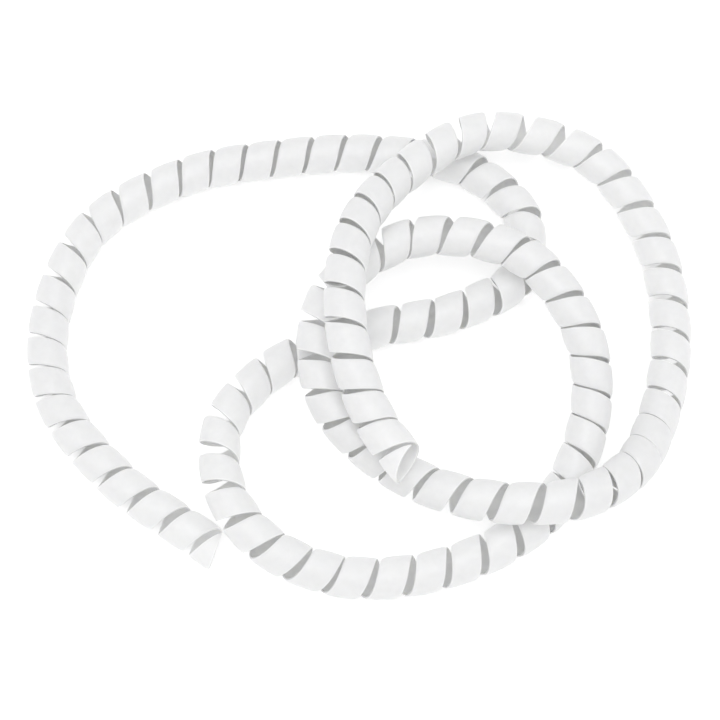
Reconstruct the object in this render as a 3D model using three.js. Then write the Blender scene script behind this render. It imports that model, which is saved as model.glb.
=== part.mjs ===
// Spiral cable wrap: one helical band of thin white plastic, lying in a loose tangle on a level floor.
// Millimetres, +Z up, +X along the longest side of the tangle.
import * as THREE from "three";

// Driving dimensions of the band
const OUTER_DIAMETER = 22;
const WALL = 1;
const BAND_WIDTH = 16;
const TURN_GAP = 0.35;

// Facets round one turn: an even number with a flat one at the very bottom of the tube
const FACETS_PER_TURN = 12;

// The end cuts are plane: each leans a little to the side and a little upwards
const FIRST_CUT = { turn: -0.34, lean: -0.31, rise: 0.16 };
const LAST_CUT = { turn: 105.4, lean: -0.35, rise: 0.2 };
const TIP_WIDTH = 1.2;

// The cuts reach this many turns into the band, and a direction is measured over this part of a turn
const CUT_TURNS = 2;
const DIRECTION_STEP = 0.05;

const outerRadius = OUTER_DIAMETER / 2;
const floorHeight = outerRadius;

// Where the tube's centre line runs: the number of turns so far, then x, y and the height of the centre
const ROUTE = [
  [0, -80, -106, floorHeight],
  [3, -129, -71, floorHeight],
  [6, -163, -28, floorHeight],
  [9, -169, 22, floorHeight],
  [12, -149, 74, floorHeight],
  [15, -101, 105, floorHeight],
  [18, -47, 117, floorHeight],
  [21, 9, 120, floorHeight],
  [24, 65, 108, floorHeight],
  [26, 91, 80, floorHeight],
  [28, 87, 44, floorHeight],
  [30, 57, 25, floorHeight],
  [33, 1, 11, floorHeight],
  [36, -51, -14, 12.5],
  [38, -72, -44, 18],
  [40, -69, -83, 27],
  [42, -47, -111, 26],
  [44, -13, -124, 17],
  [47, 45, -119, 11.5],
  [50, 96, -91, 12],
  [53, 121, -43, 17],
  [56, 118, 6, 29],
  [59, 85, 48, 35],
  [62, 28, 57, 33],
  [65, -17, 22, 35],
  [68, -18, -32, 32],
  [71, 18, -70, 25],
  [74, 71, -90, 33],
  [76, 110, -89, 36],
  [78, 139, -72, 29],
  [80, 155, -47, 21],
  [83, 169, 7, 13],
  [86, 163, 65, 12],
  [89, 130, 113, 20],
  [92, 70, 123, 32],
  [95, 23, 91, 43],
  [98, -3, 48, 57],
  [101, -7, -4, 59],
  [104, 9, -54, 50],
  [106, 31, -84, 52],
];

// The smooth curve through the route's points, with the number of turns as its parameter
class TubeRoute extends THREE.Curve {
  constructor(rows) {
    super();
    this.turns = rows.map((row) => row[0]);
    this.points = rows.map((row) => new THREE.Vector3(row[1], row[2], row[3]));
    this.slopes = this.points.map((point, i) => this.slopeAt(i));
  }

  // Rate of change per turn between point i and the next one
  rate(i) {
    const turns = this.turns[i + 1] - this.turns[i];
    return this.points[i + 1].clone().sub(this.points[i]).divideScalar(turns);
  }

  slopeAt(i) {
    const last = this.points.length - 1;
    if (i === 0) return this.rate(0);
    if (i === last) return this.rate(last - 1);
    const before = this.turns[i] - this.turns[i - 1];
    const after = this.turns[i + 1] - this.turns[i];
    const slope = this.rate(i - 1).multiplyScalar(after).addScaledVector(this.rate(i), before);
    return slope.divideScalar(before + after);
  }

  at(turn) {
    const last = this.points.length - 2;
    const i = THREE.MathUtils.clamp(this.turns.findLastIndex((value) => value <= turn), 0, last);
    const span = this.turns[i + 1] - this.turns[i];
    const u = (turn - this.turns[i]) / span;
    const point = new THREE.Vector3()
      .addScaledVector(this.points[i], 2 * u ** 3 - 3 * u ** 2 + 1)
      .addScaledVector(this.points[i + 1], 3 * u ** 2 - 2 * u ** 3)
      .addScaledVector(this.slopes[i], (u ** 3 - 2 * u ** 2 + u) * span)
      .addScaledVector(this.slopes[i + 1], (u ** 3 - u ** 2) * span);
    point.z = Math.max(point.z, floorHeight);
    return point;
  }

  directionAt(turn) {
    return this.at(turn + DIRECTION_STEP).sub(this.at(turn - DIRECTION_STEP)).normalize();
  }
}

const route = new TubeRoute(ROUTE);
const up = new THREE.Vector3(0, 0, 1);

// Outward direction of the band at a turn: a left-handed helix that is underneath at every whole turn
function outwardAt(turn, axis) {
  const side = axis.clone().cross(up).normalize();
  const top = side.clone().cross(axis);
  const angle = Math.PI - 2 * Math.PI * turn;
  return top.multiplyScalar(Math.cos(angle)).addScaledVector(side, Math.sin(angle));
}

// One section of the band: its middle, its direction along the tube and its outward direction
function sectionAt(turn) {
  const centre = route.at(turn);
  const axis = route.directionAt(turn);
  return { centre, axis, outward: outwardAt(turn, axis) };
}

// Distance along the tube from this turn's band to the same place on the next turn
function spacing(turn, nextTurn) {
  const here = sectionAt(turn);
  const there = sectionAt(nextTurn);
  const from = here.centre.clone().addScaledVector(here.outward, outerRadius);
  const to = there.centre.clone().addScaledVector(there.outward, outerRadius);
  return from.distanceTo(to);
}

// Half the band's width towards a neighbour turn: less where the bend presses the turns together
function halfWidth(turn, nextTurn) {
  return Math.min(BAND_WIDTH, spacing(turn, nextTurn) - TURN_GAP) / 2;
}

// Distance along the tube from a section to a plane end cut
function distanceToCut(section, cut) {
  const end = sectionAt(cut.turn);
  const side = end.axis.clone().cross(up);
  const normal = end.axis.clone().addScaledVector(side, cut.lean).addScaledVector(up, cut.rise);
  const edge = section.centre.clone().addScaledVector(section.outward, outerRadius);
  return end.centre.clone().sub(edge).dot(normal) / section.axis.dot(normal);
}

// A section of the band with its back and front edges, as distances along the tube
function bandAt(turn) {
  const section = sectionAt(turn);
  let back = -halfWidth(turn, turn - 1);
  let front = halfWidth(turn, turn + 1);
  if (turn < FIRST_CUT.turn + CUT_TURNS) back = Math.max(back, distanceToCut(section, FIRST_CUT));
  if (turn > LAST_CUT.turn - CUT_TURNS) front = Math.min(front, distanceToCut(section, LAST_CUT));
  return { section, back, front };
}

function widthOf(band) {
  return band.front - band.back;
}

// The four corners of the band's section, inner ones last
function corners({ section, back, front }) {
  const facetReach = 1 / Math.cos(Math.PI / FACETS_PER_TURN);
  const corner = (radius, along) =>
    section.centre
      .clone()
      .addScaledVector(section.outward, radius * facetReach)
      .addScaledVector(section.axis, along);
  const innerRadius = outerRadius - WALL;
  return [
    corner(outerRadius, back),
    corner(outerRadius, front),
    corner(innerRadius, front),
    corner(innerRadius, back),
  ];
}

// The corners at the tip, between a section past the cut and the next one, where the band is TIP_WIDTH wide
function tipCorners(past, next) {
  const nextCorners = corners(next);
  const share = (TIP_WIDTH - widthOf(past)) / (widthOf(next) - widthOf(past));
  return corners(past).map((corner, k) => corner.lerp(nextCorners[k], share));
}

function bandGeometry() {
  const bands = [];
  const start = Math.floor(FIRST_CUT.turn - CUT_TURNS);
  const steps = Math.round((LAST_CUT.turn + CUT_TURNS - start) * FACETS_PER_TURN);
  for (let i = 0; i <= steps; i += 1) bands.push(bandAt(start + (i + 0.5) / FACETS_PER_TURN));
  const first = bands.findIndex((band) => widthOf(band) > TIP_WIDTH);
  const last = bands.findLastIndex((band) => widthOf(band) > TIP_WIDTH);
  const rings = [
    tipCorners(bands[first - 1], bands[first]),
    ...bands.slice(first, last + 1).map(corners),
    tipCorners(bands[last + 1], bands[last]),
  ];
  const positions = rings.flat().flatMap((point) => point.toArray());
  const index = [];
  for (let i = 0; i < rings.length - 1; i += 1) {
    for (let k = 0; k < 4; k += 1) {
      const a = 4 * i + k;
      const b = 4 * i + ((k + 1) % 4);
      index.push(a, b, b + 4, a, b + 4, a + 4);
    }
  }
  const lastRing = 4 * (rings.length - 1);
  for (const [a, b, c, d] of [[3, 2, 1, 0], [0, 1, 2, 3].map((k) => lastRing + k)]) {
    index.push(a, b, c, a, c, d);
  }
  const geometry = new THREE.BufferGeometry();
  geometry.setAttribute("position", new THREE.Float32BufferAttribute(positions, 3));
  geometry.setIndex(index);
  return geometry;
}

const plastic = new THREE.MeshStandardMaterial({ color: 0xf2f2f0, roughness: 0.5 });
const wrap = new THREE.Mesh(bandGeometry(), plastic);
wrap.name = "spiral_wrap";

const part = new THREE.Group();
part.add(wrap);

export default part;
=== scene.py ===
# Spiral cable wrap: a thin white plastic band wound into a left-handed helix, lying in a loose tangle.
# Metres, +Z up. The wrap is one piece. Its centre line, band width and end cuts are the CAD part's own, and
# only the smallest gap between two turns is a little wider.
import math

import bpy
import numpy as np
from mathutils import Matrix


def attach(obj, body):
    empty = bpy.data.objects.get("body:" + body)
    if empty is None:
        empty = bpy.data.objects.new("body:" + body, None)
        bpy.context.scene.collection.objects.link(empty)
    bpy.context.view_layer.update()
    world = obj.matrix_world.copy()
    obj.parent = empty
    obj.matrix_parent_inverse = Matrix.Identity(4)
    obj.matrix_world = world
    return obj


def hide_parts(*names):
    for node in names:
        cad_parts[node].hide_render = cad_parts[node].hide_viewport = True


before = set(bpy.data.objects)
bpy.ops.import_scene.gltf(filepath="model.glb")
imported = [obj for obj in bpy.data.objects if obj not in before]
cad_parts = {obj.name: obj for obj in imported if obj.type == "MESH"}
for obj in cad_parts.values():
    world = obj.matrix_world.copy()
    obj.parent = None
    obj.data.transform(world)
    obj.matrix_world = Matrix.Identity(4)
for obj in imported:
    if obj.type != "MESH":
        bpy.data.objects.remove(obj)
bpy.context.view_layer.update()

MM = 0.001

# The camera
CAMERA_HEIGHT_ANGLE = math.radians(70)
CAMERA_DISTANCE = 0.825
LOOK_AT = np.array([0.0, -0.001, 0.0])


def add_camera():
    """Looks down on the tangle from in front."""
    away = np.array([0.0, -math.cos(CAMERA_HEIGHT_ANGLE), math.sin(CAMERA_HEIGHT_ANGLE)])
    data = bpy.data.cameras.new("camera")
    data.lens = 75
    data.sensor_width = 36
    data.clip_start = 0.01
    data.clip_end = 20
    camera = bpy.data.objects.new("camera", data)
    camera.location = LOOK_AT + away * CAMERA_DISTANCE
    camera.rotation_euler = (math.pi / 2 - CAMERA_HEIGHT_ANGLE, 0, 0)
    bpy.context.scene.collection.objects.link(camera)
    bpy.context.scene.camera = camera


add_camera()

# The wrap's section in millimetres, with the smallest gap that a bend leaves between two turns
OUTER_RADIUS = 11.0
WALL = 1.0
BAND_WIDTH = 16.0
TURN_GAP = 0.45
FLOOR_HEIGHT = OUTER_RADIUS

# The wrap's centre line: turns so far, then x, y and the height of the tube's centre in millimetres
ROUTE = [
    [0, -80, -106, FLOOR_HEIGHT],
    [3, -129, -71, FLOOR_HEIGHT],
    [6, -163, -28, FLOOR_HEIGHT],
    [9, -169, 22, FLOOR_HEIGHT],
    [12, -149, 74, FLOOR_HEIGHT],
    [15, -101, 105, FLOOR_HEIGHT],
    [18, -47, 117, FLOOR_HEIGHT],
    [21, 9, 120, FLOOR_HEIGHT],
    [24, 65, 108, FLOOR_HEIGHT],
    [26, 91, 80, FLOOR_HEIGHT],
    [28, 87, 44, FLOOR_HEIGHT],
    [30, 57, 25, FLOOR_HEIGHT],
    [33, 1, 11, FLOOR_HEIGHT],
    [36, -51, -14, 12.5],
    [38, -72, -44, 18],
    [40, -69, -83, 27],
    [42, -47, -111, 26],
    [44, -13, -124, 17],
    [47, 45, -119, 11.5],
    [50, 96, -91, 12],
    [53, 121, -43, 17],
    [56, 118, 6, 29],
    [59, 85, 48, 35],
    [62, 28, 57, 33],
    [65, -17, 22, 35],
    [68, -18, -32, 32],
    [71, 18, -70, 25],
    [74, 71, -90, 33],
    [76, 110, -89, 36],
    [78, 139, -72, 29],
    [80, 155, -47, 21],
    [83, 169, 7, 13],
    [86, 163, 65, 12],
    [89, 130, 113, 20],
    [92, 70, 123, 32],
    [95, 23, 91, 43],
    [98, -3, 48, 57],
    [101, -7, -4, 59],
    [104, 9, -54, 50],
    [106, 31, -84, 52],
]

# The two plane end cuts: the turn at which they cross the centre line, their lean to the side and upwards
FIRST_CUT = (-0.34, -0.31, 0.16)
LAST_CUT = (105.4, -0.35, 0.2)

# The cuts reach this many turns into the band, and a direction is measured over this part of a turn
CUT_TURNS = 2
DIRECTION_STEP = 0.05

TURNS = np.array([row[0] for row in ROUTE], float)
POINTS = np.array([row[1:] for row in ROUTE], float)


def route_slopes():
    """Rate of change per turn at each point of the route."""
    spans = np.diff(TURNS)
    rates = np.diff(POINTS, axis=0) / spans[:, None]
    slopes = np.empty_like(POINTS)
    slopes[0], slopes[-1] = rates[0], rates[-1]
    before, after = spans[:-1, None], spans[1:, None]
    slopes[1:-1] = (after * rates[:-1] + before * rates[1:]) / (before + after)
    return slopes


SLOPES = route_slopes()


def centre_at(turn):
    """The tube's centre after so many turns."""
    turn = np.asarray(turn, float)
    i = np.clip(np.searchsorted(TURNS, turn, "right") - 1, 0, len(TURNS) - 2)
    span = (TURNS[i + 1] - TURNS[i])[..., None]
    u = ((turn - TURNS[i])[..., None]) / span
    point = (
        (2 * u**3 - 3 * u**2 + 1) * POINTS[i]
        + (3 * u**2 - 2 * u**3) * POINTS[i + 1]
        + (u**3 - 2 * u**2 + u) * span * SLOPES[i]
        + (u**3 - u**2) * span * SLOPES[i + 1]
    )
    point[..., 2] = np.maximum(point[..., 2], FLOOR_HEIGHT)
    return point


def unit(v):
    return v / np.linalg.norm(v, axis=-1, keepdims=True)


def direction_at(turn):
    return unit(centre_at(turn + DIRECTION_STEP) - centre_at(turn - DIRECTION_STEP))


def section_at(turn):
    """Centre, direction along the tube and outward direction: underneath at whole turns, left-handed."""
    turn = np.asarray(turn, float)
    axis = direction_at(turn)
    side = unit(np.cross(axis, [0.0, 0.0, 1.0]))
    top = np.cross(side, axis)
    angle = (math.pi - 2 * math.pi * turn)[..., None]
    return centre_at(turn), axis, top * np.cos(angle) + side * np.sin(angle)


def half_width(turn, next_turn):
    """Half the band's width, less where a bend presses the turns together."""
    here, _, out_here = section_at(turn)
    there, _, out_there = section_at(next_turn)
    apart = np.linalg.norm(here + out_here * OUTER_RADIUS - there - out_there * OUTER_RADIUS, axis=-1)
    return np.minimum(BAND_WIDTH, apart - TURN_GAP) / 2


def distance_to_cut(section, cut):
    """Distance along the tube from a section to a plane end cut."""
    turn, lean, rise = cut
    centre, axis, outward = section
    end, end_axis, _ = section_at(np.array([turn]))
    normal = end_axis + np.cross(end_axis, [0.0, 0.0, 1.0]) * lean + np.array([0.0, 0.0, rise])
    edge = centre + outward * OUTER_RADIUS
    return ((end - edge) * normal).sum(-1) / (axis * normal).sum(-1)


# The wrap's band: sections of it per turn, and its width at the two tips in millimetres
STATIONS_PER_TURN = 40
TIP_WIDTH = 0.6

# The band curls in a little towards its edges, more so along the back one
CURL_DEPTH = 0.5
CURL_REACH = 6.5
BACK_CURL_DEPTH = 0.55
BACK_CURL_REACH = 2.4

# The knife leaves the edges slightly rounded; the curl is drawn through these distances from the edge
OUTER_EDGE_ROUND = 0.3
INNER_EDGE_ROUND = 0.14
NEAR_EDGE = 1.2
OFF_EDGE = 2.6
# A band narrower than this many reaches of the curl, as at its tips, curls less
FULL_CURL_WIDTH = 2.2


def band_profile(back, front):
    """Section of the band: places along the tube, radii and distances from the edge, anticlockwise."""
    width = front - back
    room = np.minimum(1, width / (FULL_CURL_WIDTH * CURL_REACH))

    def corner(from_edge, radius, drop):
        near = from_edge * room
        return near, radius - CURL_DEPTH * room * (1 - from_edge / CURL_REACH) ** 2 - drop

    def back_curl(near):
        return BACK_CURL_DEPTH * room * np.maximum(0, 1 - near / BACK_CURL_REACH) ** 2

    rounding = OUTER_EDGE_ROUND
    part_round = 0.3 * rounding
    inner = OUTER_RADIUS - WALL
    outside = [
        corner(0, OUTER_RADIUS, rounding),
        corner(part_round, OUTER_RADIUS, part_round),
        corner(rounding, OUTER_RADIUS, 0),
        corner(NEAR_EDGE, OUTER_RADIUS, 0),
        corner(OFF_EDGE, OUTER_RADIUS, 0),
        corner(CURL_REACH, OUTER_RADIUS, 0),
    ]
    inside = [
        corner(0, inner, -INNER_EDGE_ROUND),
        corner(INNER_EDGE_ROUND, inner, 0),
        corner(OFF_EDGE, inner, 0),
        corner(CURL_REACH, inner, 0),
    ]
    middle = width / 2
    outer_row = [(back + near, radius - back_curl(near), near) for near, radius in outside]
    outer_row += [((back + front) / 2, np.full_like(back, OUTER_RADIUS), middle)]
    outer_row += [(front - near, radius, near) for near, radius in reversed(outside)]
    inner_row = [(front - near, radius, near) for near, radius in inside]
    inner_row += [((back + front) / 2, np.full_like(back, inner), middle)]
    inner_row += [(back + near, radius - back_curl(near), near) for near, radius in reversed(inside)]
    row = outer_row + inner_row
    return [np.stack([np.broadcast_to(entry[k], back.shape) for entry in row], -1) for k in range(3)]


def wrap_mesh():
    start = FIRST_CUT[0] - CUT_TURNS
    count = round((LAST_CUT[0] + CUT_TURNS - start) * STATIONS_PER_TURN)
    turns = start + np.arange(count + 1) / STATIONS_PER_TURN
    section = section_at(turns)
    back = -half_width(turns, turns - 1)
    front = half_width(turns, turns + 1)
    near_first = turns < FIRST_CUT[0] + CUT_TURNS
    near_last = turns > LAST_CUT[0] - CUT_TURNS
    back = np.where(near_first, np.maximum(back, distance_to_cut(section, FIRST_CUT)), back)
    front = np.where(near_last, np.minimum(front, distance_to_cut(section, LAST_CUT)), front)
    keep = front - back > TIP_WIDTH
    turns, back, front = turns[keep], back[keep], front[keep]
    centre, axis, outward = (part[keep] for part in section)
    along, radius, from_edge = band_profile(back, front)
    rings = centre[:, None] + axis[:, None] * along[..., None] + outward[:, None] * radius[..., None]
    stations, corners = along.shape
    verts = (rings.reshape(-1, 3) * MM).tolist()
    faces = []
    for i in range(stations - 1):
        for k in range(corners):
            a = i * corners + k
            b = i * corners + (k + 1) % corners
            faces.append((a, b, b + corners, a + corners))
    faces.append(tuple(reversed(range(corners))))
    faces.append(tuple(range((stations - 1) * corners, stations * corners)))
    mesh = bpy.data.meshes.new("spiral_wrap_band")
    mesh.from_pydata(verts, [], faces)
    # lengthwise and crosswise place on the band, in metres, for the marks that follow the band
    place = np.zeros((stations, corners, 2))
    place[..., 0] = (turns * 2 * math.pi * OUTER_RADIUS * MM)[:, None]
    place[..., 1] = along * MM
    layer = mesh.uv_layers.new(name="band")
    loops = np.empty(len(mesh.loops), int)
    mesh.loops.foreach_get("vertex_index", loops)
    layer.data.foreach_set("uv", place.reshape(-1, 2)[loops].ravel().astype(np.float32))
    edge = mesh.attributes.new("from_edge", "FLOAT", "POINT")
    edge.data.foreach_set("value", from_edge.ravel().astype(np.float32))
    mesh.update()
    return mesh


def add_wrap():
    wrap = bpy.data.objects.new("wrap_band", wrap_mesh())
    bpy.context.scene.collection.objects.link(wrap)
    bpy.ops.object.select_all(action="DESELECT")
    wrap.select_set(True)
    bpy.context.view_layer.objects.active = wrap
    bpy.ops.object.shade_smooth_by_angle(angle=math.radians(50))
    return wrap


wrap = add_wrap()
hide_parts("spiral_wrap")
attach(wrap, "root")

# Points on the wrap's centre line in metres, from cut to cut, and how many of them there are
CENTRE_LINE_PLACES = 425
centre_line = centre_at(np.linspace(FIRST_CUT[0], LAST_CUT[0], CENTRE_LINE_PLACES)) * MM

# The white plastic: its two mottled whites, the painted highlight beside each cut edge and the painted
# shade on the cut face
DARK_WHITE = (0.85, 0.852, 0.852, 1)
LIGHT_WHITE = (0.89, 0.892, 0.892, 1)
PAINTED_HIGHLIGHT_WHITE = (0.98, 0.98, 0.975, 1)
CUT_FACE_PAINTED_SHADE_GREY = (0.5, 0.5, 0.5, 1)

# Distances from the cut edge in millimetres: where the painted highlight starts, is lightest and ends, and
# where the painted shade on the cut face ends
PAINTED_HIGHLIGHT_START, PAINTED_HIGHLIGHT_PEAK, PAINTED_HIGHLIGHT_END = 0.08, 0.25, 0.9
PAINTED_HIGHLIGHT_STRENGTH = 0.9
CUT_FACE_PAINTED_SHADE_END = 0.12
CUT_FACE_PAINTED_SHADE_STRENGTH = 0.3

# How far light travels inside the plastic, in metres, and how the colours share that
LIGHT_REACH = 0.0014
LIGHT_REACH_BY_COLOUR = (1.0, 1.0, 0.95)


def node(tree, kind, **values):
    """Adds a node, and sets its sockets and its properties by name."""
    made = tree.nodes.new(kind)
    for name, value in values.items():
        if name in made.inputs:
            made.inputs[name].default_value = value
        else:
            setattr(made, name, value)
    return made


def map_range(tree, from_low, from_high, to_low, to_high, **values):
    made = node(tree, "ShaderNodeMapRange", **values)
    made.inputs["From Min"].default_value = from_low
    made.inputs["From Max"].default_value = from_high
    made.inputs["To Min"].default_value = to_low
    made.inputs["To Max"].default_value = to_high
    return made


def mix_in(tree, base, colour, factor):
    """Mixes a plain colour into the base by a factor, and returns the mixed colour's socket."""
    mix = node(tree, "ShaderNodeMix", data_type="RGBA")
    mix.inputs[7].default_value = colour
    tree.links.new(factor, mix.inputs["Factor"])
    tree.links.new(base, mix.inputs[6])
    return mix.outputs[2]


def mottled_white(tree, mottle):
    tint = tree.nodes.new("ShaderNodeValToRGB")
    dark, light = tint.color_ramp.elements
    dark.position, dark.color = 0.3, DARK_WHITE
    light.position, light.color = 0.75, LIGHT_WHITE
    tree.links.new(mottle.outputs["Fac"], tint.inputs["Fac"])
    return tint.outputs["Color"]


def white_with_painted_edge_light_and_shade(tree, white):
    """The white with a painted highlight beside each cut edge, and painted shade on the cut face itself."""
    from_edge = node(tree, "ShaderNodeAttribute", attribute_name="from_edge")
    # Painted highlight: a lighter white mixed into the colour beside each cut edge, by distance from the
    # edge
    painted_highlight_ramp = tree.nodes.new("ShaderNodeValToRGB")
    start, end = painted_highlight_ramp.color_ramp.elements
    start.position, start.color = PAINTED_HIGHLIGHT_START, (0, 0, 0, 1)
    end.position, end.color = PAINTED_HIGHLIGHT_END, (0, 0, 0, 1)
    painted_highlight_peak = painted_highlight_ramp.color_ramp.elements.new(PAINTED_HIGHLIGHT_PEAK)
    painted_highlight_peak.color = (PAINTED_HIGHLIGHT_STRENGTH, PAINTED_HIGHLIGHT_STRENGTH, PAINTED_HIGHLIGHT_STRENGTH, 1)
    tree.links.new(from_edge.outputs["Fac"], painted_highlight_ramp.inputs["Fac"])
    with_painted_highlight = mix_in(tree, white, PAINTED_HIGHLIGHT_WHITE, painted_highlight_ramp.outputs["Color"])
    # Painted shade: the cut face and the edge next to it greyed, so that the thin gaps between turns look
    # darker
    painted_cut_face_shade = map_range(tree, 0, CUT_FACE_PAINTED_SHADE_END, CUT_FACE_PAINTED_SHADE_STRENGTH, 0, interpolation_type="SMOOTHSTEP")
    tree.links.new(from_edge.outputs["Fac"], painted_cut_face_shade.inputs["Value"])
    return mix_in(tree, with_painted_highlight, CUT_FACE_PAINTED_SHADE_GREY, painted_cut_face_shade.outputs["Result"])


def drawn_surface(tree, place):
    """Relief of the surface: fine drawing lines along the band and a finer grain all over."""
    link = tree.links.new
    stretch = node(tree, "ShaderNodeMapping", Scale=(60.0, 2600.0, 1.0))
    link(place.outputs["UV"], stretch.inputs["Vector"])
    lines = node(tree, "ShaderNodeTexNoise", Scale=1.0, Detail=3.0, Roughness=0.5)
    link(stretch.outputs["Vector"], lines.inputs["Vector"])
    grain = node(tree, "ShaderNodeTexNoise", Scale=1400.0, Detail=2.0, Roughness=0.5)
    link(place.outputs["Object"], grain.inputs["Vector"])
    relief = node(tree, "ShaderNodeBump", Strength=0.12, Distance=0.0002)
    link(lines.outputs["Fac"], relief.inputs["Height"])
    fine = node(tree, "ShaderNodeBump", Strength=0.08, Distance=0.0001)
    link(grain.outputs["Fac"], fine.inputs["Height"])
    link(relief.outputs["Normal"], fine.inputs["Normal"])
    return fine.outputs["Normal"]


def white_plastic():
    """Waxy, slightly translucent white polyethylene with faint mottling."""
    material = bpy.data.materials.new("white_plastic")
    material.use_nodes = True
    tree = material.node_tree
    shader = tree.nodes["Principled BSDF"]
    link = tree.links.new
    place = tree.nodes.new("ShaderNodeTexCoord")

    mottle = node(tree, "ShaderNodeTexNoise", Scale=220.0, Detail=4.0, Roughness=0.6)
    link(place.outputs["Object"], mottle.inputs["Vector"])
    link(white_with_painted_edge_light_and_shade(tree, mottled_white(tree, mottle)), shader.inputs["Base Color"])
    gloss = map_range(tree, 0.3, 0.7, 0.3, 0.42)
    link(mottle.outputs["Fac"], gloss.inputs["Value"])
    link(gloss.outputs["Result"], shader.inputs["Roughness"])
    link(drawn_surface(tree, place), shader.inputs["Normal"])

    shader.inputs["Subsurface Weight"].default_value = 1.0
    shader.inputs["Subsurface Radius"].default_value = LIGHT_REACH_BY_COLOUR
    shader.inputs["Subsurface Scale"].default_value = LIGHT_REACH
    shader.inputs["Specular IOR Level"].default_value = 0.4
    return material


wrap.data.materials.append(white_plastic())

# The floor: its size in metres, its white and the faint glow of its own that keeps it white round the wrap
FLOOR_SIZE = 24.0
FLOOR_WHITE = (0.9, 0.9, 0.9, 1)
FLOOR_GLOW = 0.3

# The light from all round, then each softbox: its place, its two sides in metres and its power in watts
ROOM_LIGHT = 0.645
SOFTBOXES = {
    "top_softbox": ((-0.1, -0.15, 1.6), (1.3, 1.3), 9.9),
    "left_softbox": ((-1.4, 0.0, 0.9), (1.0, 1.0), 1.3),
    "right_softbox": ((1.4, 0.0, 0.9), (1.0, 1.0), 2.0),
}


def add_floor():
    bpy.ops.object.select_all(action="DESELECT")
    bpy.ops.mesh.primitive_plane_add(size=FLOOR_SIZE, location=(0, 0, 0))
    floor = bpy.context.object
    floor.name = "floor"
    material = bpy.data.materials.new("pale_floor")
    material.use_nodes = True
    shader = material.node_tree.nodes["Principled BSDF"]
    shader.inputs["Base Color"].default_value = FLOOR_WHITE
    shader.inputs["Emission Color"].default_value = (1, 1, 1, 1)
    shader.inputs["Emission Strength"].default_value = FLOOR_GLOW
    shader.inputs["Roughness"].default_value = 0.9
    floor.data.materials.append(material)


def add_softbox(name, place, size, power):
    """A soft rectangular light that faces the middle of the tangle."""
    data = bpy.data.lights.new(name, "AREA")
    data.shape = "RECTANGLE"
    data.size, data.size_y = size
    data.energy = power
    light = bpy.data.objects.new(name, data)
    light.location = place
    aim = -np.array(place, float)
    pitch = math.atan2(math.hypot(aim[0], aim[1]), -aim[2])
    light.rotation_euler = (pitch, 0, math.atan2(-aim[0], aim[1]))
    bpy.context.scene.collection.objects.link(light)


def light_room():
    world = bpy.data.worlds.new("room")
    bpy.context.scene.world = world
    world.use_nodes = True
    background = world.node_tree.nodes["Background"]
    background.inputs["Color"].default_value = (1, 1, 1, 1)
    background.inputs["Strength"].default_value = ROOM_LIGHT
    for name, (place, size, power) in SOFTBOXES.items():
        add_softbox(name, place, size, power)


add_floor()
light_room()
bpy.context.scene.view_settings.view_transform = "Standard"
